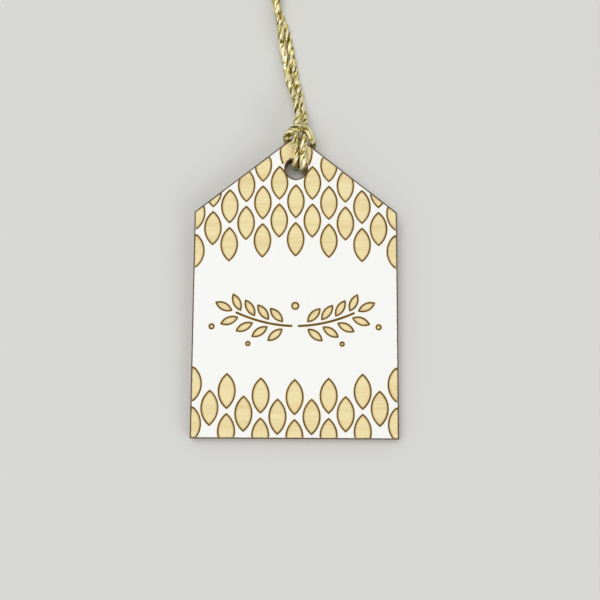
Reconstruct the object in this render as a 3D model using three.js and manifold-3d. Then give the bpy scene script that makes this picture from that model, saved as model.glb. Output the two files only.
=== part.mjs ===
// Laser-cut plywood hang tag on a doubled metallic cord, tied on with a lark's head hitch.
// Millimetres. X is the width, +Y points to the gable's point, +Z out of the coated face.
// The origin is the middle of the wooden back face, so the cord behind the wood lies below zero.
import * as THREE from 'three';
import { mergeVertices } from 'three/addons/utils/BufferGeometryUtils.js';
import Module from 'manifold-3d';

const wasm = await Module();
wasm.setup();

// Tag outline
const TAG_WIDTH = 50.8;
const TAG_HEIGHT = 76.2;
const SHOULDER_HEIGHT = 56.2;
const HOLE_DIAMETER = 5.5;
const HOLE_BELOW_POINT = 8.7;

// Plies and coat, from back to front
const BACK_VENEER = 0.8;
const CORE_VENEER = 1.4;
const FRONT_VENEER = 0.8;
const COAT = 0.1;

// Leaf pattern cut through the coat
const COAT_RIM = 0.3;
const LEAF_LENGTH = 8.8;
const LEAF_WIDTH = 4.4;
const LEAF_GAP = 0.9;
const COLUMN_PITCH = 4.15;
const UPPER_FIELD_BOTTOM = 3.6;
const LOWER_FIELD_TOP = -20.4;
const FIELD_ARCH = 3.2;
const HOLE_RIM = 0.2;
const LEAF_STEPS = 7;

// One broad leaf fills the strip of wood that carries the hitch
const HITCH_LEAF_LENGTH = 14.4;
const HITCH_LEAF_WIDTH = 8.4;
const HITCH_LEAF_ABOVE_HOLE_CENTRE = 4.5;

// Sprig in the bare band between the two leaf fields
const SPRIG_HEIGHT = -10.6;
const SPRIG_REACH = 16.5;
const SPRIG_CURL = 4.2;
const SPRIG_PAIRS = 4;
const SPRIG_LEAF_LENGTH = 4.8;
const SPRIG_LEAF_WIDTH = 2.1;
const SPRIG_LEAF_TURN = 0.75;
const SPRIG_LEAF_OFF_STEM = 3.6;
const SPRIG_TIP_PAST_STEM = 1.3;
const STEM_WIDTH = 0.5;
const STEM_FROM_MIDDLE = 0.9;
const STEM_STEPS = 10;

// Round berries scattered under and over the sprig, as x, y and diameter
const BERRIES = [
  [0, -5.6, 2.0], [-20.6, -10.8, 1.5], [20.6, -10.8, 1.5], [-11.6, -15.0, 1.3], [11.6, -15.0, 1.3],
];

// Cord and the room that it keeps
const CORD_DIAMETER = 1.8;
const CORD_GAP = 0.2;
const WOOD_GAP = 0.3;
const END_GAP = 0.3;
const CORD_SIDES = 8;

// Hitch round the strip of wood between the hole and the gable
const HITCH_SHIFT = 0.35;
const LEG_ABOVE_HOLE_CENTRE = 0.9;
const LEG_DROP = 0.45;
const LEG_SHIFT = 0.67;
const LEG_BEND = 1.8;
const WRAP_FROM_POINT = 2.55;
const WRAP_GAP = 0.5;
const COLLAR_PAST_POINT = 0.9;
const HITCH_LEAN = THREE.MathUtils.degToRad(3.5);
const HITCH_STEPS = 88;
const STRAND_STEP = 3.2;

// Knot in the doubled end of the cord: the core cords are squeezed, and the wrap runs round them
const KNOT_CORE_SPACING = 0.8;
const KNOT_CORE_HALF = 2.3;
const KNOT_WRAP_RADIUS = 2.3;
const KNOT_WRAP_HALF = 1.5;
const KNOT_PAIR_OFFSET = 0.85;
const KNOT_TAIL = 8;
const KNOT_STEPS = 56;
const KNOT_SLIVER = 0.015;
const KNOT_PLACE = [-13.0, 109.6];
const KNOT_HEADING = THREE.MathUtils.degToRad(14);

// Sizes that follow from these
const WOOD = BACK_VENEER + CORE_VENEER + FRONT_VENEER;
const FACE = WOOD + COAT;
const CORD_RADIUS = CORD_DIAMETER / 2;
const BASE_Y = -TAG_HEIGHT / 2;
const POINT_Y = TAG_HEIGHT / 2;
const SHOULDER_Y = BASE_Y + SHOULDER_HEIGHT;
const GABLE_SLOPE = (POINT_Y - SHOULDER_Y) / (TAG_WIDTH / 2);
const GABLE_ANGLE = Math.atan(GABLE_SLOPE);
const HOLE_Y = POINT_Y - HOLE_BELOW_POINT;
const STRAND_X = CORD_RADIUS + CORD_GAP / 2;
const FRONT_Z = FACE + WOOD_GAP + CORD_RADIUS;
const BACK_Z = -WOOD_GAP - CORD_RADIUS;

// The tag lies on its bottom edge and on the cord behind it, so the table slopes in this frame
const TABLE_SLOPE = (WOOD_GAP + CORD_DIAMETER) / (HOLE_Y + LEG_ABOVE_HOLE_CENTRE + LEG_BEND - BASE_Y);
const tableHeight = (y) => -TABLE_SLOPE * (y - BASE_Y);
const lyingHeight = (y) => tableHeight(y) + CORD_RADIUS;

const finishes = {
  coat: new THREE.MeshStandardMaterial({ color: 0xfbfaf6, roughness: 0.55 }),
  faceVeneer: new THREE.MeshStandardMaterial({ color: 0xe2c894, roughness: 0.7 }),
  coreVeneer: new THREE.MeshStandardMaterial({ color: 0x8a5a33, roughness: 0.8 }),
  cord: new THREE.MeshStandardMaterial({ color: 0xd8c88a, roughness: 0.35, metalness: 0.7 }),
};

const tag = new THREE.Group();

function addPiece(name, geometry, finish) {
  const mesh = new THREE.Mesh(geometry, finish);
  mesh.name = name;
  tag.add(mesh);
}

// Solids for joining and cutting

function toSolid(geometry) {
  const bare = geometry.clone();
  bare.deleteAttribute('normal');
  bare.deleteAttribute('uv');
  const merged = mergeVertices(bare, 1e-5);
  return new wasm.Manifold(new wasm.Mesh({
    numProp: 3,
    vertProperties: new Float32Array(merged.attributes.position.array),
    triVerts: new Uint32Array(merged.index.array),
  }));
}

function toGeometry(solid) {
  const mesh = solid.getMesh();
  const geometry = new THREE.BufferGeometry();
  geometry.setAttribute('position', new THREE.BufferAttribute(mesh.vertProperties, 3));
  geometry.setIndex(new THREE.BufferAttribute(mesh.triVerts, 1));
  geometry.computeVertexNormals();
  return geometry;
}

// Tag outline and plies

function tagShape(inset) {
  const half = TAG_WIDTH / 2 - inset;
  const point = POINT_Y - inset / Math.cos(GABLE_ANGLE);
  const shoulder = point - GABLE_SLOPE * half;
  return new THREE.Shape([
    new THREE.Vector2(-half, BASE_Y + inset),
    new THREE.Vector2(half, BASE_Y + inset),
    new THREE.Vector2(half, shoulder),
    new THREE.Vector2(0, point),
    new THREE.Vector2(-half, shoulder),
  ]);
}

function slab(shape, bottom, top) {
  const settings = { depth: top - bottom, bevelEnabled: false, curveSegments: 14 };
  return new THREE.ExtrudeGeometry(shape, settings).translate(0, 0, bottom);
}

function pierced(inset) {
  const shape = tagShape(inset);
  shape.holes.push(new THREE.Path().absarc(0, HOLE_Y, HOLE_DIAMETER / 2, 0, 2 * Math.PI));
  return shape;
}

// A pointed leaf between two arcs, its length along the turned Y axis

function leafShape({ x, y, length, width, turn }) {
  const radius = (length * length + width * width) / (4 * width);
  const spread = Math.asin(length / 2 / radius);
  const points = [];
  for (const side of [1, -1]) {
    for (let step = 0; step < LEAF_STEPS; step += 1) {
      const angle = side * spread * (2 * step / LEAF_STEPS - 1);
      const across = side * (radius * Math.cos(angle) - radius + width / 2);
      const along = radius * Math.sin(angle);
      points.push(new THREE.Vector2(across, along).rotateAround(new THREE.Vector2(), turn));
    }
  }
  return new THREE.Shape(points.map((point) => point.add(new THREE.Vector2(x, y))));
}

// Leaves hang from the gable and stand on the base in staggered columns, the same left and right

function fieldLeaves() {
  const leaves = [];
  const period = LEAF_LENGTH + LEAF_GAP;
  const columns = Math.round(TAG_WIDTH / 2 / COLUMN_PITCH);
  for (let column = -columns; column <= columns; column += 1) {
    const x = column * COLUMN_PITCH;
    const arch = FIELD_ARCH * (1 - (2 * x / TAG_WIDTH) ** 2);
    const stagger = Math.abs(column) % 2 ? period / 2 : 0;
    const gable = POINT_Y - GABLE_SLOPE * Math.abs(x);
    const lowest = UPPER_FIELD_BOTTOM + arch + stagger + LEAF_LENGTH / 2;
    for (let y = lowest; y < gable + LEAF_LENGTH / 4; y += period) {
      const underHitch = Math.abs(column) < 2 && y > HOLE_Y;
      if (!underHitch) leaves.push({ x, y, length: LEAF_LENGTH, width: LEAF_WIDTH, turn: 0 });
    }
    const highest = LOWER_FIELD_TOP - arch - stagger - LEAF_LENGTH / 2;
    for (let y = highest; y > BASE_Y - LEAF_LENGTH / 4; y -= period) {
      leaves.push({ x, y, length: LEAF_LENGTH, width: LEAF_WIDTH, turn: 0 });
    }
  }
  const y = HOLE_Y + HITCH_LEAF_ABOVE_HOLE_CENTRE;
  leaves.push({ x: 0, y, length: HITCH_LEAF_LENGTH, width: HITCH_LEAF_WIDTH, turn: 0 });
  return leaves;
}

// Two curved stems leave the middle of the band, each with leaves in pairs and one at its tip

function stemAt(along) {
  return {
    stemX: SPRIG_REACH * along,
    stemY: SPRIG_HEIGHT + SPRIG_CURL * along * along,
    heading: Math.atan2(2 * SPRIG_CURL * along, SPRIG_REACH),
  };
}

function sprigLeaves() {
  const leaves = [];
  for (const side of [-1, 1]) {
    for (let pair = 0; pair <= SPRIG_PAIRS; pair += 1) {
      const { stemX, stemY, heading } = stemAt((pair + 0.6) / (SPRIG_PAIRS + 0.6));
      for (const flank of pair < SPRIG_PAIRS ? [-1, 1] : [0]) {
        const lean = heading + flank * SPRIG_LEAF_TURN;
        const off = flank ? SPRIG_LEAF_OFF_STEM : SPRIG_TIP_PAST_STEM;
        leaves.push({
          x: side * (stemX + off * Math.cos(lean)),
          y: stemY + off * Math.sin(lean),
          length: SPRIG_LEAF_LENGTH,
          width: SPRIG_LEAF_WIDTH,
          turn: side * (lean - Math.PI / 2),
        });
      }
    }
  }
  return leaves;
}

// A stem is a narrow slot that stops short of the leaf at its tip

function stemShape(side) {
  const first = STEM_FROM_MIDDLE / SPRIG_REACH;
  const last = 1 - (SPRIG_LEAF_LENGTH / 2 + LEAF_GAP - SPRIG_TIP_PAST_STEM) / SPRIG_REACH;
  const points = [];
  for (const edge of [-1, 1]) {
    for (let step = 0; step <= STEM_STEPS; step += 1) {
      const share = edge < 0 ? step / STEM_STEPS : 1 - step / STEM_STEPS;
      const { stemX, stemY, heading } = stemAt(first + (last - first) * share);
      const half = edge * STEM_WIDTH / 2;
      const x = side * (stemX - half * Math.sin(heading));
      points.push(new THREE.Vector2(x, stemY + half * Math.cos(heading)));
    }
  }
  return new THREE.Shape(side > 0 ? points : points.reverse());
}

function berryShape([x, y, diameter]) {
  return leafShape({ x, y, length: diameter, width: diameter, turn: 0 });
}

function faceCoat() {
  const shapes = [...fieldLeaves(), ...sprigLeaves()].map(leafShape);
  shapes.push(stemShape(-1), stemShape(1), ...BERRIES.map(berryShape));
  const cutters = shapes.map((shape) => toSolid(slab(shape, WOOD - 1, FACE + 1)));
  const window = toSolid(slab(tagShape(COAT_RIM), WOOD - 1, FACE + 1));
  const rimRadius = HOLE_DIAMETER / 2 + HOLE_RIM;
  const holeRim = new THREE.CylinderGeometry(rimRadius, rimRadius, 4, 40);
  const kept = toSolid(holeRim.rotateX(Math.PI / 2).translate(0, HOLE_Y, WOOD));
  let cut = cutters[0];
  for (const cutter of cutters.slice(1)) cut = cut.add(cutter);
  cut = cut.intersect(window).subtract(kept);
  return toGeometry(toSolid(slab(pierced(0), WOOD, FACE)).subtract(cut));
}

// Cord: an eight-sided tube swept along a smooth route, with a round end where it must turn

function smooth(points) {
  return new THREE.CatmullRomCurve3(points.map((point) => new THREE.Vector3(...point)), false, 'centripetal');
}

function tube(route, steps, radius = CORD_RADIUS) {
  const section = new THREE.Shape();
  for (let side = 0; side < CORD_SIDES; side += 1) {
    const angle = 2 * Math.PI * (side + 0.5) / CORD_SIDES;
    const corner = [radius * Math.cos(angle), radius * Math.sin(angle)];
    if (side === 0) section.moveTo(...corner);
    else section.lineTo(...corner);
  }
  return new THREE.ExtrudeGeometry(section, { steps, extrudePath: route, bevelEnabled: false });
}

// Hitch, in a frame with the hole's centre at zero. One side runs from its standing end over the face,
// through the hole, up behind the wood and round the gable's edge to the top of the collar. It sits right
// of the middle, so the right leg goes through the hole further out and lower than the left one.

function bend(side, centreY, centreZ, from, to) {
  const points = [];
  for (let step = 0; step <= 3; step += 1) {
    const angle = THREE.MathUtils.degToRad(from + (to - from) * step / 3);
    const y = centreY + LEG_BEND * Math.cos(angle);
    points.push([side * STRAND_X + LEG_SHIFT, y, centreZ + LEG_BEND * Math.sin(angle)]);
  }
  return points;
}

const COLLAR_Y = HOLE_BELOW_POINT + COLLAR_PAST_POINT;
const COLLAR_Z = FRONT_Z + CORD_DIAMETER + CORD_GAP;
const PIVOT_Y = COLLAR_Y + CORD_DIAMETER + WOOD_GAP;
const PIVOT_Z = FRONT_Z - 0.8;
const WRAP_OUT = CORD_RADIUS + WRAP_GAP;

function hitchSide(side) {
  const turnY = LEG_ABOVE_HOLE_CENTRE - side * LEG_DROP + LEG_BEND;
  const strandX = side * STRAND_X + HITCH_SHIFT;
  const fromPoint = WRAP_FROM_POINT + side * HITCH_SHIFT;
  const edgeY = HOLE_BELOW_POINT - GABLE_SLOPE * fromPoint;
  const fromEdge = (out, z) => [
    side * (fromPoint + out * Math.sin(GABLE_ANGLE)),
    edgeY + out * Math.cos(GABLE_ANGLE),
    z,
  ];
  return [
    [strandX, PIVOT_Y - CORD_RADIUS - END_GAP, PIVOT_Z + 0.35],
    [strandX, COLLAR_Y, FRONT_Z - 0.05],
    [strandX + 0.1, HOLE_BELOW_POINT - 2, FRONT_Z],
    ...bend(side, turnY, FRONT_Z - LEG_BEND, 90, 180),
    ...bend(side, turnY, BACK_Z + LEG_BEND, 180, 270),
    fromEdge(-1.2, BACK_Z),
    fromEdge(0.1, BACK_Z - 0.05),
    fromEdge(0.8 * WRAP_OUT, BACK_Z + 0.45),
    fromEdge(WRAP_OUT, 0.45),
    fromEdge(WRAP_OUT, FACE - 0.3),
    fromEdge(0.8 * WRAP_OUT, FACE + 0.95),
    [side * 2.88 + HITCH_SHIFT, COLLAR_Y - 1.6, COLLAR_Z - 1.05],
    [side * 2.1 + HITCH_SHIFT, COLLAR_Y - 0.75, COLLAR_Z - 0.3],
    [side * 1.05 + HITCH_SHIFT, COLLAR_Y - 0.18, COLLAR_Z],
  ];
}

// From the hitch's frame to the tag's: the hitch leans a little to the right on its strip of wood

function placeHitch([x, y, z]) {
  const cos = Math.cos(HITCH_LEAN);
  const sin = Math.sin(HITCH_LEAN);
  return [x * cos + y * sin, HOLE_Y + y * cos - x * sin, z];
}

const hitchPoints = [...hitchSide(-1), [HITCH_SHIFT, COLLAR_Y, COLLAR_Z + 0.05], ...hitchSide(1).reverse()];
const hitchRoute = smooth(hitchPoints.map(placeHitch));

// Free strands: chosen points on the table, as x, y and height above a strand that lies on it.
// The left strand passes over the right one, then they part into the eye of the loop.

const leftPath = [
  [-0.15, 47.5, 3.1], [-1.05, 50.6, 1.95], [-2.05, 54.2, 0.95], [-2.85, 59.0, 0.65], [-3.65, 62.6, 0.75],
  [-4.15, 66.6, 1.4], [-4.55, 70.2, 1.85], [-5.35, 74.0, 2.0], [-5.4, 78.0, 2.0], [-4.5, 82.0, 1.6],
  [-2.3, 86.4, 0.7], [0.1, 91.3, 0.05], [0.75, 96.0, 0], [-0.45, 100.2, 0], [-2.85, 102.8, 0],
];
const rightPath = [
  [1.1, 47.9, 1.45], [0.55, 51.2, 0.55], [-0.25, 54.8, 0.15], [-1.1, 59.4, 0], [-1.75, 63.2, 0],
  [-2.55, 67.0, 0], [-3.6, 70.4, 0], [-4.9, 74.0, 0], [-6.3, 78.0, 0], [-9.0, 81.6, 0],
  [-13.2, 84.6, 0], [-17.2, 88.2, 0], [-19.7, 92.6, 0], [-19.75, 96.5, 0], [-18.6, 99.4, 0],
];

const knotCentreZ = tableHeight(KNOT_PLACE[1]) + KNOT_WRAP_RADIUS + CORD_RADIUS;

function placeKnot([across, along, up]) {
  const cos = Math.cos(KNOT_HEADING);
  const sin = Math.sin(KNOT_HEADING);
  const x = KNOT_PLACE[0] + across * cos - along * sin;
  const y = KNOT_PLACE[1] + across * sin + along * cos;
  return [x, y, knotCentreZ + up];
}

// Where a cord comes to the knot, from its own side of the eye; the strands have crossed before it

function knotEntry(side) {
  return [[side * 4.2, -KNOT_CORE_HALF - 3.4, -1.35], [side * 1.7, -KNOT_CORE_HALF - 1.6, -0.5]];
}

// One cord of the knot, in the knot's frame: up through the core, once round both cords, and up again

function knotPath(side) {
  const core = KNOT_CORE_SPACING;
  const lift = side * core;
  const points = [
    ...knotEntry(side),
    [-core, -KNOT_CORE_HALF, lift],
    [-core, 0, lift],
    [-core - 0.4, KNOT_CORE_HALF, lift * 0.9],
  ];
  const turns = 12;
  for (let step = 0; step <= turns; step += 1) {
    const share = step / turns;
    const angle = Math.PI * (1.02 - 2.04 * share);
    const along = KNOT_WRAP_HALF * (1 - 2 * share) + side * KNOT_PAIR_OFFSET;
    points.push([KNOT_WRAP_RADIUS * Math.cos(angle), along, KNOT_WRAP_RADIUS * Math.sin(angle)]);
  }
  points.push([-core * 0.6, -KNOT_CORE_HALF + side * 0.3 - 0.5, lift * 0.8]);
  points.push([core, -KNOT_CORE_HALF + 1.2, lift]);
  points.push([core, KNOT_CORE_HALF, lift]);
  points.push([core + side * 0.5, KNOT_CORE_HALF + 2.5, lift * 0.9 - 0.8]);
  points.push([core + side * 1.6, KNOT_CORE_HALF + KNOT_TAIL - 2.5, CORD_RADIUS - KNOT_WRAP_RADIUS - 0.5]);
  points.push([core + side * 2.4, KNOT_CORE_HALF + KNOT_TAIL, -KNOT_WRAP_RADIUS]);
  return points.map(placeKnot);
}

function strandRoute(side, path) {
  const pivot = placeHitch([side * STRAND_X + HITCH_SHIFT, PIVOT_Y, PIVOT_Z]);
  const startX = side * (STRAND_X - 0.2) + HITCH_SHIFT;
  const start = placeHitch([startX, PIVOT_Y + 2.4, PIVOT_Z - 1.5 - side * 0.65]);
  const [end, before] = knotEntry(-side).map(placeKnot);
  const heading = new THREE.Vector3(...before).sub(new THREE.Vector3(...end)).normalize();
  const last = new THREE.Vector3(...end).addScaledVector(heading, -END_GAP);
  const ahead = new THREE.Vector3(...end).addScaledVector(heading, -END_GAP - 1.6);
  const lying = path.map(([x, y, lift]) => [x, y, lyingHeight(y) + lift]);
  return smooth([pivot, start, ...lying, ahead.toArray(), last.toArray()]);
}

function strand(side, path) {
  const route = strandRoute(side, path);
  const steps = Math.ceil(route.getLength() / STRAND_STEP);
  const ball = new THREE.SphereGeometry(CORD_RADIUS * 0.98, 12, 8);
  ball.translate(...placeHitch([side * STRAND_X + HITCH_SHIFT, PIVOT_Y, PIVOT_Z]));
  return toGeometry(toSolid(tube(route, steps)).add(toSolid(ball)));
}

// In the knot the cords press into each other and into themselves, so they are joined from convex steps,
// and what is thinner than a sliver is merged away

function convexSteps(route, steps) {
  const middles = route.getSpacedPoints(steps);
  const { normals, binormals } = route.computeFrenetFrames(steps, false);
  const rings = middles.map((middle, step) => Array.from({ length: CORD_SIDES }, (_, side) => {
    const angle = 2 * Math.PI * (side + 0.5) / CORD_SIDES;
    const point = middle.clone();
    point.addScaledVector(normals[step], CORD_RADIUS * Math.cos(angle));
    point.addScaledVector(binormals[step], CORD_RADIUS * Math.sin(angle));
    return point.toArray();
  }));
  return rings.slice(1).map((ring, step) => wasm.Manifold.hull([...rings[step], ...ring]));
}

function endKnot() {
  const pieces = [-1, 1].flatMap((side) => convexSteps(smooth(knotPath(side)), KNOT_STEPS));
  return toGeometry(wasm.Manifold.union(pieces).asOriginal().simplify(KNOT_SLIVER));
}

// The least gap of a route to itself, on points more than two diameters apart along it

function leastGap(route, other = null) {
  const count = 400;
  const apart = Math.ceil(2.2 * CORD_DIAMETER / route.getLength() * count);
  const own = route.getSpacedPoints(count);
  const rest = (other ?? route).getSpacedPoints(count);
  let least = Infinity;
  own.forEach((point, i) => rest.forEach((mate, j) => {
    if (other || Math.abs(i - j) > apart) least = Math.min(least, point.distanceTo(mate));
  }));
  return least - CORD_DIAMETER;
}

const strandRoutes = [strandRoute(-1, leftPath), strandRoute(1, rightPath)];
const lengths = [hitchRoute, ...strandRoutes].map((route) => route.getLength());
console.log(`hitch: ${lengths[0].toFixed(1)} mm of cord`);
console.log(`least gap of the hitch to itself ${leastGap(hitchRoute).toFixed(2)} mm`);
console.log(`strands: ${lengths[1].toFixed(1)} and ${lengths[2].toFixed(1)} mm`);
console.log(`least gap between the strands ${leastGap(...strandRoutes).toFixed(2)} mm`);

addPiece('back_veneer', slab(pierced(0), 0, BACK_VENEER), finishes.faceVeneer);
addPiece('core_veneer', slab(pierced(0), BACK_VENEER, BACK_VENEER + CORE_VENEER), finishes.coreVeneer);
addPiece('front_veneer', slab(pierced(0), BACK_VENEER + CORE_VENEER, WOOD), finishes.faceVeneer);
addPiece('face_coat', faceCoat(), finishes.coat);
addPiece('cord_hitch', tube(hitchRoute, HITCH_STEPS), finishes.cord);
addPiece('left_strand', strand(-1, leftPath), finishes.cord);
addPiece('right_strand', strand(1, rightPath), finishes.cord);
addPiece('end_knot', endKnot(), finishes.cord);

export default tag;
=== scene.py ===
"""Laser-cut plywood hang tag with a scored leaf pattern, hung on a doubled metallic cord.

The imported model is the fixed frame. X is the width, +Y points to the gable's point, +Z out of the coat.
Shapes are worked out in millimetres and go into their meshes in metres.
"""

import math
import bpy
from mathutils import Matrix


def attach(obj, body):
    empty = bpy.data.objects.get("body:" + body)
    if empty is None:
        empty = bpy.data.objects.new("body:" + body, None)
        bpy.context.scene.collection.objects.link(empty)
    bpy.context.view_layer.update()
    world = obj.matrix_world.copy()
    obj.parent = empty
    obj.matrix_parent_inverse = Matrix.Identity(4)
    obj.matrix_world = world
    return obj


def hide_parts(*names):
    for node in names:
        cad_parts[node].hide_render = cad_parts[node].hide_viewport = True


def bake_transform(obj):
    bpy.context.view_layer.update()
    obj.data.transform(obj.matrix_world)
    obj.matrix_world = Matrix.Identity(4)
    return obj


bl_info = {
    "name": "Plywood Hang Tag",
    "version": (1, 0, 0),
    "blender": (4, 5, 0),
    "location": "3D Viewport > Sidebar > Hang Tag",
    "description": "Dresses a scored plywood hang tag and its twisted metallic cord",
    "category": "Add Mesh",
}

from types import SimpleNamespace

import bmesh
import bpy
import numpy as np
from bpy.props import FloatProperty, FloatVectorProperty, IntProperty, PointerProperty
from mathutils import Matrix, Vector
from mathutils.geometry import tessellate_polygon

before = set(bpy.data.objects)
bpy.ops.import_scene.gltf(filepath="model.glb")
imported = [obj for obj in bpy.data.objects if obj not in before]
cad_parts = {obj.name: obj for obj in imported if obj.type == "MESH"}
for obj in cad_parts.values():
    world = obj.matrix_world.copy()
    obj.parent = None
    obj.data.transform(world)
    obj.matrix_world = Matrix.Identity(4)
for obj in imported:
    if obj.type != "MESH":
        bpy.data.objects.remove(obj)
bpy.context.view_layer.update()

MM = 0.001
MERGE_DISTANCE = 0.002

# Leaf fields and sprig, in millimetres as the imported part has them
COAT_RIM = 0.3
HOLE_RIM = 0.2
UPPER_FIELD_BOTTOM = 3.6
LOWER_FIELD_TOP = -20.4
FIELD_ARCH = 3.2
HITCH_LEAF_LENGTH = 14.4
HITCH_LEAF_WIDTH = 8.4
HITCH_LEAF_ABOVE_HOLE_CENTRE = 4.5
SPRIG_HEIGHT = -10.6
SPRIG_REACH = 16.5
SPRIG_CURL = 4.2
SPRIG_PAIRS = 4
SPRIG_FIRST_PAIR = 0.6
SPRIG_LEAF_LENGTH = 4.8
SPRIG_LEAF_WIDTH = 2.1
SPRIG_LEAF_TURN = 0.75
SPRIG_LEAF_OFF_STEM = 3.6
SPRIG_TIP_PAST_STEM = 1.3
STEM_WIDTH = 0.5
STEM_FROM_MIDDLE = 0.9
BERRIES = ((0, -5.6, 2.0), (-20.6, -10.8, 1.5), (20.6, -10.8, 1.5), (-11.6, -15.0, 1.3), (11.6, -15.0, 1.3))

# Steps of the score line: millimetres into the leaf, and the most of the way to its middle that each may go
HALO = 0.22
SCORE_RINGS = ((-HALO, 1), (0.0, 1), (0.04, 0.1), (0.12, 0.3), (0.27, 0.55), (0.38, 0.7), (0.75, 0.85))
STEM_INSETS = (-HALO, 0, 0.03, 0.08, 0.14, 0.19, 0.22, STEM_WIDTH / 2)

# Points round an opening, at a stem's end and round the hole
ISLAND_RAYS = 48
CAP_RAYS = 4
HOLE_STEPS = 56

# Tries across a leaf for its most open point, and the least room there. Its first ring lies a little past the
# rims that clip it, and each later one a step further inside
GRID_STEPS = 41
LEAST_ROOM = 0.3
RIM_HALO = 0.05
RIM_STEP = 0.012

# The score line's section, as shares of its width and of its depth
GROOVE_WIDTHS = (0, 0.1, 0.32, 0.7, 1.0)
GROOVE_DEPTHS = (0, 0.4, 1.0, 1.0, 0)

# Distances into a leaf that mark plain coat and plain wood
PLAIN_COAT = -1.0
PLAIN_WOOD = 5.0

# Cord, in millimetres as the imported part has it
CORD_GAP = 0.2
WOOD_GAP = 0.3
END_GAP = 0.3
HITCH_SHIFT = 0.35
LEG_ABOVE_HOLE_CENTRE = 0.9
LEG_DROP = 0.45
LEG_SHIFT = 0.67
LEG_BEND = 1.8
WRAP_FROM_POINT = 2.55
WRAP_GAP = 0.5
COLLAR_PAST_POINT = 0.9
HITCH_LEAN = math.radians(3.5)
PIVOT_DROP = 0.8
STRAND_START_REACH = 2.4
STRAND_START_DROP = 1.5
STRAND_START_TILT = 0.65
STRANDS_DRAWN_IN = 0.2
KNOT_LEAD = 1.6
KNOT_CORE_SPACING = 0.8
KNOT_CORE_HALF = 2.3
KNOT_WRAP_RADIUS = 2.3
KNOT_WRAP_HALF = 1.5
KNOT_PAIR_OFFSET = 0.85
KNOT_TAIL = 8
KNOT_PLACE = (-13.0, 109.6)
KNOT_HEADING = math.radians(14)
SAMPLES_PER_SPAN = 40

# Free strands on the table, as x, y and height above a strand that lies on it
LEFT_PATH = (
    (-0.15, 47.5, 3.1), (-1.05, 50.6, 1.95), (-2.05, 54.2, 0.95), (-2.85, 59.0, 0.65), (-3.65, 62.6, 0.75),
    (-4.15, 66.6, 1.4), (-4.55, 70.2, 1.85), (-5.35, 74.0, 2.0), (-5.4, 78.0, 2.0), (-4.5, 82.0, 1.6),
    (-2.3, 86.4, 0.7), (0.1, 91.3, 0.05), (0.75, 96.0, 0), (-0.45, 100.2, 0), (-2.85, 102.8, 0),
)
RIGHT_PATH = (
    (1.1, 47.9, 1.45), (0.55, 51.2, 0.55), (-0.25, 54.8, 0.15), (-1.1, 59.4, 0), (-1.75, 63.2, 0),
    (-2.55, 67.0, 0), (-3.6, 70.4, 0), (-4.9, 74.0, 0), (-6.3, 78.0, 0), (-9.0, 81.6, 0),
    (-13.2, 84.6, 0), (-17.2, 88.2, 0), (-19.7, 92.6, 0), (-19.75, 96.5, 0), (-18.6, 99.4, 0),
)

# Camera that matches the photograph, looking down on the tag and a little towards its point
CAMERA_PLACE = (1.17, -29.39, 201.4)
CAMERA_AIM = (1.17, -4.12, 3.0)
CAMERA_ROLL = math.radians(0.33)
CAMERA_LENS = 48.43
SENSOR_WIDTH = 36.0

LAMP_AIM = (0, 10, 0)
FLOOR_CORNERS = ((-1500, -1500), (1500, -1500), (1500, 1500), (-1500, 1500))
FLOOR_GAP = 0.05


def linear(hex_colour):
    """Linear RGBA from an sRGB hex string."""
    parts = np.array([int(hex_colour[i : i + 2], 16) for i in (1, 3, 5)]) / 255
    curve = np.where(parts <= 0.04045, parts / 12.92, ((parts + 0.055) / 1.055) ** 2.4)
    return (*curve.tolist(), 1.0)


def length_property(description, millimetres):
    return FloatProperty(description=description, default=millimetres * MM, min=0, unit="LENGTH")


def share_property(description, default, least, most=2.0):
    return FloatProperty(description=description, default=default, min=least, max=most)


def colour_property(description, hex_colour):
    colour = linear(hex_colour)
    return FloatVectorProperty(description=description, default=colour, size=4, min=0, max=1, subtype="COLOR")


class HangTagBoard(bpy.types.PropertyGroup):
    """Sizes of the plywood tag and of its scored pattern."""

    width: length_property("Width of the tag", 50.8)
    height: length_property("Height of the tag, from the base to the gable's point", 76.2)
    shoulder_height: length_property("Height of the straight sides", 56.2)
    hole_diameter: length_property("Diameter of the hole for the cord", 5.5)
    hole_below_point: length_property("From the gable's point to the hole's centre", 8.7)
    back_and_core: length_property("Thickness of the back and core veneers together", 2.2)
    front_veneer: length_property("Thickness of the front veneer", 0.8)
    coat: length_property("Thickness of the white coat", 0.1)
    leaf_length: length_property("Length of a leaf in the two fields", 8.8)
    leaf_width: length_property("Width of a leaf in the two fields", 4.4)
    leaf_gap: length_property("Gap between two leaves of a column", 0.9)
    column_pitch: length_property("Distance between two columns of leaves", 4.15)
    score_depth: length_property("Depth of the burnt line round a leaf, below the wood", 0.22)
    score_width: length_property("Width of the burnt line round a leaf", 0.35)


class HangTagCord(bpy.types.PropertyGroup):
    """Sizes of the twisted cord."""

    diameter: length_property("Diameter of the cord over its plies", 1.8)
    lay: length_property("Length in which a ply goes once round the cord", 10.0)
    plies: IntProperty(description="Number of plies twisted together", default=3, min=2, max=6)
    ply_offset: share_property("Share of the radius at which a ply's middle lies", 0.35, 0, 0.5)
    crown: share_property("Radius at a ply's crown over the cord's radius", 1.05, 1)
    ring_step: length_property("Distance between two rings of the mesh", 0.17)
    around: IntProperty(description="Vertices round the cord", default=36, min=12, max=96)


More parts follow.
